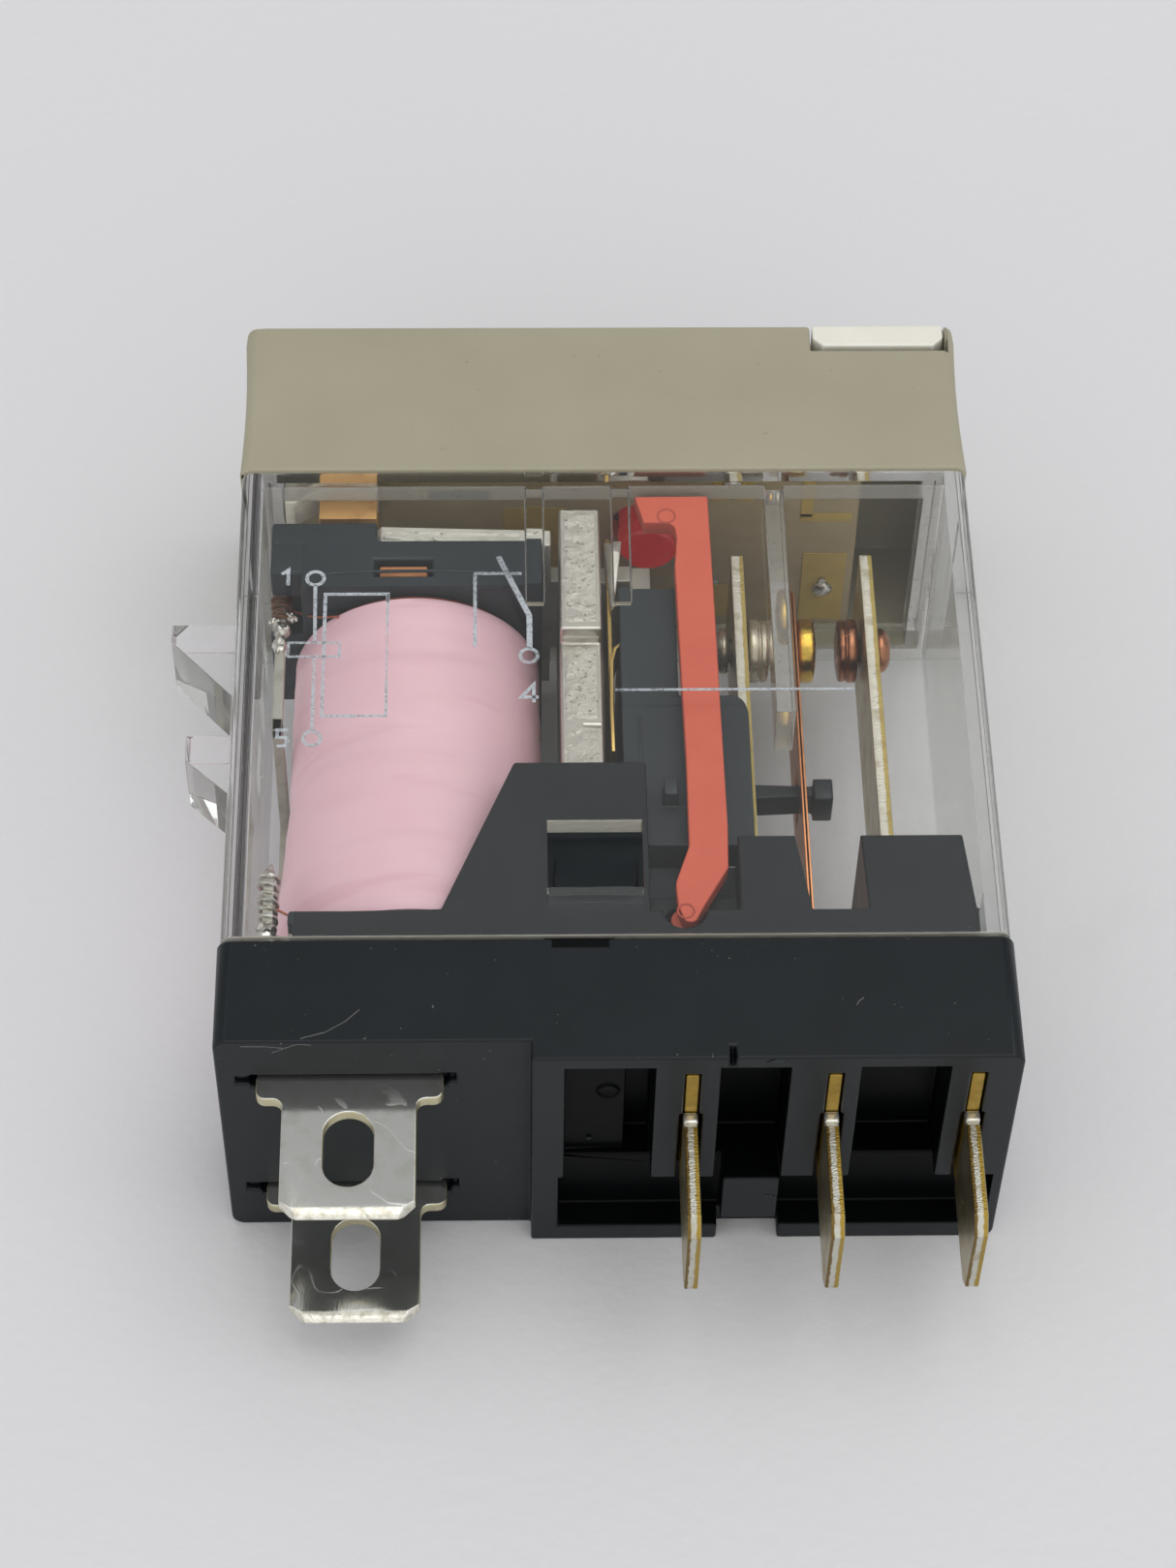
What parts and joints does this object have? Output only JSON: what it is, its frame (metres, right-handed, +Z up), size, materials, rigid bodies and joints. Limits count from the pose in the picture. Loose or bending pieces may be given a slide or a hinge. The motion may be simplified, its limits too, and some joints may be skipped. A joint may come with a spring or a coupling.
{
  "type": "plug-in relay",
  "caption": "Slim plug-in relay: clear case over a taped coil and changeover contact, black base with blade terminals, beige cap, orange indicator lever.",
  "frame": {"origin": "centre of the broad side that the relay lies on, halfway along the body without its terminals and halfway across the base", "axes": "+Z up out of the broad side with the indicator lever, +Y from the terminals to the cap, +X towards the contact side"},
  "size_m": [0.0316, 0.0402, 0.0127],
  "materials": {
    "black_moulding": "fine-grained black thermoplastic, slightly glossy on edges",
    "clear_moulding": "clear polycarbonate, glossy, with moulding marks and white printed lines",
    "beige_moulding": "satin grey-beige thermoplastic with a fine grain",
    "white_plate": "smooth cream-white plastic",
    "bobbin_black": "dark thermoplastic, satin",
    "pink_tape": "pink polyester insulating tape, wound in overlapping turns",
    "copper": "bare copper",
    "magnet_iron": "nickel-plated iron with rough sheared edges",
    "spring_bronze": "rolled phosphor bronze",
    "orange_lever": "satin orange-red plastic with ejector marks",
    "plated_terminal": "tin-plated brass, bare yellow metal on the sheared edges",
    "contact_gold": "gold-flashed silver contact",
    "contact_dark": "silver alloy contact with a bronze tint",
    "spring_copper": "thin rolled beryllium copper",
    "tinned_steel": "tin-plated terminal stock, bright sheared edges",
    "solder": "solder over wound wire",
    "wound_wire": "enamelled copper wire wound on the post",
    "phenolic_board": "brown phenolic board with yellow tracks",
    "red_lens": "translucent red lamp body",
    "resistor_body": "lacquered resistor body",
    "diode_body": "black diode body"
  },
  "bodies": {
    "housing": {"base": "black_moulding", "clear_case": "clear_moulding", "top_cap": "beige_moulding", "marking_plate": "white_plate", "lamp_window": "clear_moulding", "bobbin": "bobbin_black", "coil_winding": "pink_tape", "shading_ring": "copper", "core": "magnet_iron", "yoke": "magnet_iron", "hinge_spring": "spring_bronze", "nc_terminal": "plated_terminal", "nc_contact": "contact_gold", "no_terminal": "plated_terminal", "no_contact": "contact_dark", "com_terminal": "plated_terminal", "coil_terminal_upper": "tinned_steel", "coil_terminal_lower": "tinned_steel", "lead_wrap_lower": "solder", "lead_wrap_upper": "wound_wire", "led_board": "phenolic_board", "led": "red_lens", "led_resistor": "resistor_body", "led_diode": "diode_body", "board_clip_front": "spring_copper", "board_clip_back": "spring_copper"},
    "armature_assembly": {"armature": "magnet_iron", "contact_card": "bobbin_black"},
    "indicator": {"indicator_lever": "orange_lever"},
    "moving_contact_arm": {"moving_spring": "spring_copper", "moving_contact": "contact_gold"}
  },
  "joints": [
    {"name": "armature_hinge", "type": "hinge", "parent": "housing", "child": "armature_assembly", "pos_m": [-0.0002, 0.00735, 0.00635], "axis": [0, 0, 1], "range_deg": [0, 2], "stiffness_Nm_per_rad": 0.0008, "springref_deg": -17.19},
    {"name": "indicator_hinge", "type": "hinge", "parent": "housing", "child": "indicator", "pos_m": [0.00256, -0.01071, 0.00635], "axis": [0, 0, 1], "range_deg": [-4.3, 0]},
    {"name": "contact_flex", "type": "hinge", "parent": "housing", "child": "moving_contact_arm", "pos_m": [0.00749, -0.0106, 0.00635], "axis": [0, 0, 1], "range_deg": [-2.2, 0]}
  ],
  "couplings": [
    {"joint": "indicator_hinge", "follows": "armature_hinge", "ratio": -2.056},
    {"joint": "contact_flex", "follows": "armature_hinge", "ratio": -1.063}
  ]
}
